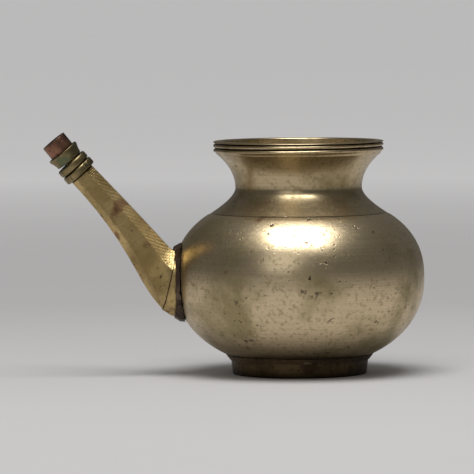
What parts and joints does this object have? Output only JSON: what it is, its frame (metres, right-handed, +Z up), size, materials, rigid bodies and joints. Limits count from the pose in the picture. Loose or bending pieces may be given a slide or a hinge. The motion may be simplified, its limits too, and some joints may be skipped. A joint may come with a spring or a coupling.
{
  "type": "spouted water pot",
  "caption": "Round-bellied metal water pot with a waisted neck, grooved rim, foot ring and a slanted faceted pouring spout.",
  "frame": {"origin": "centre of the whole pot's box, on the surface that the foot ring stands on", "axes": "+Z up along the pot's own axis, the spout points to -X, the middle plane of the spout is Y = 0"},
  "size_m": [0.1904, 0.1254, 0.1219],
  "materials": {
    "belly_metal": "aged bell metal, satin, with casting pits",
    "neck_metal": "turned bell metal, fine ring marks",
    "foot_metal": "dark aged brass",
    "solder": "dark brazing bead",
    "spout_brass": "yellow brass, filed facets, brown patina",
    "collar_brass": "dark brass with green patina",
    "tip_copper": "reddish copper with dark patina"
  },
  "bodies": {
    "root": {"belly": "belly_metal", "neck": "neck_metal", "rim_band": "neck_metal", "foot_ring": "foot_metal", "foot_solder": "solder", "spout_shaft": "spout_brass", "spout_cuff": "spout_brass", "cuff_solder": "solder", "collar_ring_lower": "collar_brass", "collar_ring_upper": "collar_brass", "tip_flange": "collar_brass", "tip_pipe": "tip_copper"}
  },
  "joints": []
}
